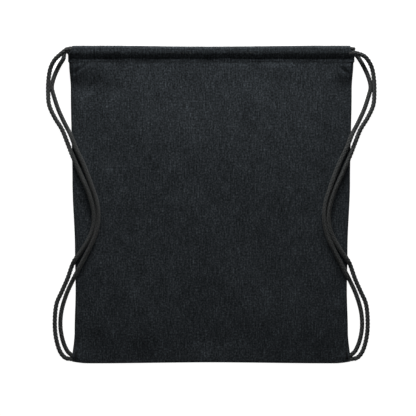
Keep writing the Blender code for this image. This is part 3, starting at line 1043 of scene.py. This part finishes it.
def thread_piece(name, strokes, radius, node, side=None):
    """Sewing thread along each stroke, a short line of points, as round threads with closed ends."""
    sides = 5
    verts, faces, uvs, count = [], [], [], 0
    turn = np.linspace(0, 2 * math.pi, sides, endpoint=False)
    for number, stroke in enumerate(strokes):
        line = np.asarray(stroke, float)
        along, first, second = carried_frames(line)
        ring = line[:, None] + radius * (
            first[:, None] * np.cos(turn)[None, :, None] + second[:, None] * np.sin(turn)[None, :, None]
        )
        verts.append(ring.reshape(-1, 3))
        faces += tube_faces(len(line), sides, count)
        u = np.repeat(distances(line) + 0.01 * number, sides)
        uvs.append(np.stack([u, np.tile(turn * radius, len(line))], axis=1))
        count += len(line) * sides
    piece = new_piece(name, np.vstack(verts), faces, np.vstack(uvs), thread_finish())
    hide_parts(node)
    if side:
        gather(piece, side)
    else:
        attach(piece, BAG)


def hem_face(x, name):
    """Height of the outer face along a hem's stitch line."""
    if name == "front":
        return front_height(x, hem_line(x) - 0.0003)
    return 0 * x + 0.0002


def make_hem_stitching():
    """A row of straight stitches along each casing's hem, each dipping into the cloth at its ends."""
    length = sizes().stitch_length
    for name in ("front", "back"):
        for side in (LEFT, RIGHT):
            strokes = []
            for k in range(round(0.1815 / length)):
                share = np.linspace(0.06, 0.90, 7)
                x = side * (k + share) * length
                lift = 0.00034 * np.sin(math.pi * np.linspace(0, 1, 7)) ** 0.7 - 0.00018
                z = hem_face(x, name)
                z = z + lift if name == "front" else np.maximum(z - lift, 0.00025)
                strokes.append(np.stack([x, hem_line(x) + 0.0002, z], axis=1))
            node = f"{name}_hem_stitching"
            thread_piece(f"{node}_{SIDE_NAME[side]}", strokes, HEM_THREAD, node, side)


def make_seams():
    """The folded seam allowances inside the bag, and the overlock threads that bind their edges."""
    for side in (LEFT, RIGHT):
        name = SIDE_NAME[side]
        y = np.linspace(-0.199, 0.182, 260)
        across = np.linspace(0, 1, 9)
        grid_y, grid_u = np.meshgrid(y, across, indexing="ij")
        wave = 0.0006 * soft_noise(grid_y, grid_u * 0.01, 0.012, 70 + side)
        x = side * (half_width(grid_y) - 0.0014 - grid_u * 0.0068 + wave * grid_u)
        z = SEAM_HEIGHT + 0.00025 * soft_noise(grid_y, grid_u * 0.01, 0.009, 73 + side)
        points = np.stack([x, grid_y, z], axis=-1)
        uvs = np.stack([x, grid_y + 0.9], axis=-1)
        piece = cloth_piece(f"{name}_side_seam", points, uvs, 1, SEAM_THICKNESS)
        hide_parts(f"{name}_side_seam")
        gather(piece, side)
        strokes = overlock(lambda s: (side * (half_width(s) - 0.0082), s), -0.197, 0.180, (-side, 0))
        thread_piece(f"{name}_seam_overlock", strokes, OVERLOCK_THREAD, f"{name}_seam_overlock", side)
    x = np.linspace(-0.170, 0.170, 240)
    across = np.linspace(0, 1, 8)
    grid_x, grid_u = np.meshgrid(x, across, indexing="ij")
    wave = 0.0005 * soft_noise(grid_x, grid_u * 0.01, 0.012, 77)
    y = bottom_line(grid_x) + 0.0014 + grid_u * 0.0064 + wave * grid_u
    z = SEAM_HEIGHT + 0.00025 * soft_noise(grid_x, grid_u * 0.01, 0.009, 78)
    points = np.stack([grid_x, y, z], axis=-1)
    uvs = np.stack([grid_x, y + 1.3], axis=-1)
    piece = cloth_piece("bottom_seam", points, uvs, 1, SEAM_THICKNESS)
    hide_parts("bottom_seam")
    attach(piece, BAG)
    strokes = overlock(lambda s: (s, bottom_line(s) + 0.0078), -0.168, 0.168, (0, 1))
    thread_piece("bottom_seam_overlock", strokes, OVERLOCK_THREAD, "bottom_seam_overlock")


def overlock(edge, start, end, inward):
    """Loops of thread over a cloth edge: a zigzag on top that wraps round the edge."""
    strokes = []
    count = round((end - start) / 0.0026)
    t = np.linspace(0, 2 * math.pi, 11)
    for k in range(count):
        along = start + (end - start) * (k + t / (2 * math.pi)) / count
        px, py = edge(along)
        reach = 0.0011 * np.cos(t)
        height = 0.0016 + 0.0011 * np.sin(t / 2) ** 2
        strokes.append(np.stack([px + inward[0] * reach, py + inward[1] * reach, height], axis=1))
    return strokes


def tack_stroke(x, y):
    """One stroke of a bar tack over the front panel, dipping into the cloth at its ends."""
    rise = STITCH_RISE * np.sin(np.linspace(0, math.pi, len(x))) ** 0.5
    z = seam_roll(x, y, front_height(x, y), FRONT_REST) + rise - STITCH_SINK
    return np.stack([x, y, z], axis=1)


def make_tacks():
    """Bar tacks: close zigzag thread where the vents start and over the cord ends."""
    for side in (LEFT, RIGHT):
        name = SIDE_NAME[side]
        strokes = []
        for k in range(15):
            x = side * (0.1838 - 0.00052 * k + np.linspace(-0.00012, 0.00012, 6))
            y = hem_line(x) - 0.0002 + np.linspace(-0.0009, 0.0009, 6)
            strokes.append(tack_stroke(x, y))
        thread_piece(f"{name}_vent_tack", strokes, TACK_THREAD, f"{name}_vent_tack", side)
        strokes = []
        for k in range(18):
            y = -0.2004 + 0.00055 * k + np.linspace(-0.0001, 0.0001, 9)
            x = side * (half_width(y) - 0.0048 + np.linspace(-0.0014, 0.0014, 9))
            strokes.append(tack_stroke(x, y))
        thread_piece(f"{name}_cord_anchor_tack", strokes, TACK_THREAD, f"{name}_cord_anchor_tack")


# ---------------------------------------------------------------- stage

FLOOR_GLOW = 0.25
FLOOR_GLOW_SEEN = 0.72
SKY_STRENGTH = 0.085
CAMERA_HEIGHT = 2.4
VIEW_WIDTH = 0.5398
SENSOR_WIDTH = 36


def make_camera():
    """Straight above the bag, with a long lens."""
    data = bpy.data.cameras.new("camera")
    camera = bpy.data.objects.new("camera", data)
    bpy.context.scene.collection.objects.link(camera)
    camera.location = (-0.0042, -0.0045, CAMERA_HEIGHT)
    data.sensor_width = SENSOR_WIDTH
    data.lens = SENSOR_WIDTH * (CAMERA_HEIGHT - BACK_RUN_Z) / VIEW_WIDTH
    bpy.context.scene.camera = camera


def area_light(name, place, target, width, height, power):
    """A white soft box at place, turned to target, that lights the scene and isn't seen itself."""
    data = bpy.data.lights.new(name, "AREA")
    data.shape = "RECTANGLE"
    data.size = width
    data.size_y = height
    data.energy = power
    light = bpy.data.objects.new(name, data)
    light.location = place
    light.rotation_mode = "QUATERNION"
    light.rotation_quaternion = (Vector(target) - Vector(place)).to_track_quat("-Z", "Y")
    light.visible_camera = False
    bpy.context.scene.collection.objects.link(light)


def floor_material():
    """A pale floor that glows: fully to the eye, and weakly as a light on the bag."""
    material = bpy.data.materials.new("studio_floor")
    material.use_nodes = True
    tree = material.node_tree
    shader = tree.nodes["Principled BSDF"]
    shader.inputs["Base Color"].default_value = (*colours().floor, 1)
    shader.inputs["Roughness"].default_value = 0.9
    shader.inputs["Emission Strength"].default_value = 1
    seen = tree.nodes.new("ShaderNodeLightPath")
    glow = weighted_sum(tree, FLOOR_GLOW, (seen.outputs["Is Camera Ray"], FLOOR_GLOW_SEEN))
    link(tree, glow, shader.inputs["Emission Color"])
    return material


def make_stage():
    """A pale floor, soft boxes at the head and foot and above, and a faint even sky."""
    bpy.ops.mesh.primitive_plane_add(size=8, location=(0, 0, 0))
    floor = bpy.context.active_object
    floor.name = "studio_floor"
    floor.data.materials.append(floor_material())
    area_light("head_light", (0, 0.80, 0.31), (0, 0.05, 0), width=0.6, height=0.22, power=8.6)
    area_light("foot_light", (0, -0.95, 0.30), (0, -0.1, 0), width=1.2, height=0.3, power=1.1)
    area_light("fill_light", (0, 0.5, 2.0), (0, 0, 0), width=1.6, height=1.6, power=1.3)
    world = bpy.data.worlds.new("studio")
    world.use_nodes = True
    sky = world.node_tree.nodes["Background"]
    sky.inputs["Color"].default_value = (1, 1, 1, 1)
    sky.inputs["Strength"].default_value = SKY_STRENGTH
    bpy.context.scene.world = world
    bpy.context.scene.view_settings.view_transform = "Standard"


# ---------------------------------------------------------------- operators and panel


def deselect_all():
    for thing in bpy.data.objects:
        thing.select_set(False)


class BACKPACK_OT_camera(bpy.types.Operator):
    """Set the camera straight above the bag"""

    bl_idname = "backpack.camera"
    bl_label = "Camera"

    def execute(self, context):
        deselect_all()
        make_camera()
        return {"FINISHED"}


class BACKPACK_OT_drawcords(bpy.types.Operator):
    """Braid both drawcords along their routes"""

    bl_idname = "backpack.drawcords"
    bl_label = "Drawcords"

    def execute(self, context):
        deselect_all()
        for side in (LEFT, RIGHT):
            make_cord(side)
        return {"FINISHED"}


class BACKPACK_OT_front_panel(bpy.types.Operator):
    """Lay the front panel over the bag"""

    bl_idname = "backpack.front_panel"
    bl_label = "Front panel"

    def execute(self, context):
        deselect_all()
        make_front_panel()
        return {"FINISHED"}


class BACKPACK_OT_back_panel(bpy.types.Operator):
    """Lay the back panel on the floor"""

    bl_idname = "backpack.back_panel"
    bl_label = "Back panel"

    def execute(self, context):
        deselect_all()
        make_back_panel()
        return {"FINISHED"}


class BACKPACK_OT_casings(bpy.types.Operator):
    """Fold the casings over the cords"""

    bl_idname = "backpack.casings"
    bl_label = "Casings"

    def execute(self, context):
        deselect_all()
        make_casings()
        return {"FINISHED"}


class BACKPACK_OT_casing_hems(bpy.types.Operator):
    """Turn in the casings' open ends"""

    bl_idname = "backpack.casing_hems"
    bl_label = "Casing hems"

    def execute(self, context):
        deselect_all()
        make_casing_hems()
        return {"FINISHED"}


class BACKPACK_OT_hem_stitching(bpy.types.Operator):
    """Sew the row of stitches under each casing"""

    bl_idname = "backpack.hem_stitching"
    bl_label = "Hem stitching"

    def execute(self, context):
        deselect_all()
        make_hem_stitching()
        return {"FINISHED"}


class BACKPACK_OT_seams(bpy.types.Operator):
    """Fold and overlock the seam allowances inside the bag"""

    bl_idname = "backpack.seams"
    bl_label = "Seams"

    def execute(self, context):
        deselect_all()
        make_seams()
        return {"FINISHED"}


class BACKPACK_OT_tacks(bpy.types.Operator):
    """Sew the bar tacks at the vents and over the cord ends"""

    bl_idname = "backpack.tacks"
    bl_label = "Bar tacks"

    def execute(self, context):
        deselect_all()
        make_tacks()
        return {"FINISHED"}


class BACKPACK_OT_stage(bpy.types.Operator):
    """Set up the floor and the soft studio light"""

    bl_idname = "backpack.stage"
    bl_label = "Studio"

    def execute(self, context):
        deselect_all()
        make_stage()
        return {"FINISHED"}


OPERATORS = (
    BACKPACK_OT_camera,
    BACKPACK_OT_drawcords,
    BACKPACK_OT_front_panel,
    BACKPACK_OT_back_panel,
    BACKPACK_OT_casings,
    BACKPACK_OT_casing_hems,
    BACKPACK_OT_hem_stitching,
    BACKPACK_OT_seams,
    BACKPACK_OT_tacks,
    BACKPACK_OT_stage,
)


class BACKPACK_PT_panel(bpy.types.Panel):
    bl_idname = "BACKPACK_PT_panel"
    bl_label = "Drawstring Backpack"
    bl_space_type = "VIEW_3D"
    bl_region_type = "UI"
    bl_category = "Backpack"

    def draw(self, context):
        for settings in (context.scene.backpack_sizes, context.scene.backpack_colours):
            for name in settings.bl_rna.properties.keys():
                if name not in ("name", "rna_type"):
                    self.layout.prop(settings, name)
        for operator in OPERATORS:
            self.layout.operator(operator.bl_idname)


CLASSES = (BackpackSizes, BackpackColours, *OPERATORS, BACKPACK_PT_panel)


def register():
    for made in CLASSES:
        bpy.utils.register_class(made)
    bpy.types.Scene.backpack_sizes = bpy.props.PointerProperty(type=BackpackSizes)
    bpy.types.Scene.backpack_colours = bpy.props.PointerProperty(type=BackpackColours)


def unregister():
    del bpy.types.Scene.backpack_sizes
    del bpy.types.Scene.backpack_colours
    for made in reversed(CLASSES):
        bpy.utils.unregister_class(made)


def main():
    register()
    for operator in OPERATORS:
        family, name = operator.bl_idname.split(".")
        getattr(getattr(bpy.ops, family), name)()


if __name__ == "__main__":
    main()
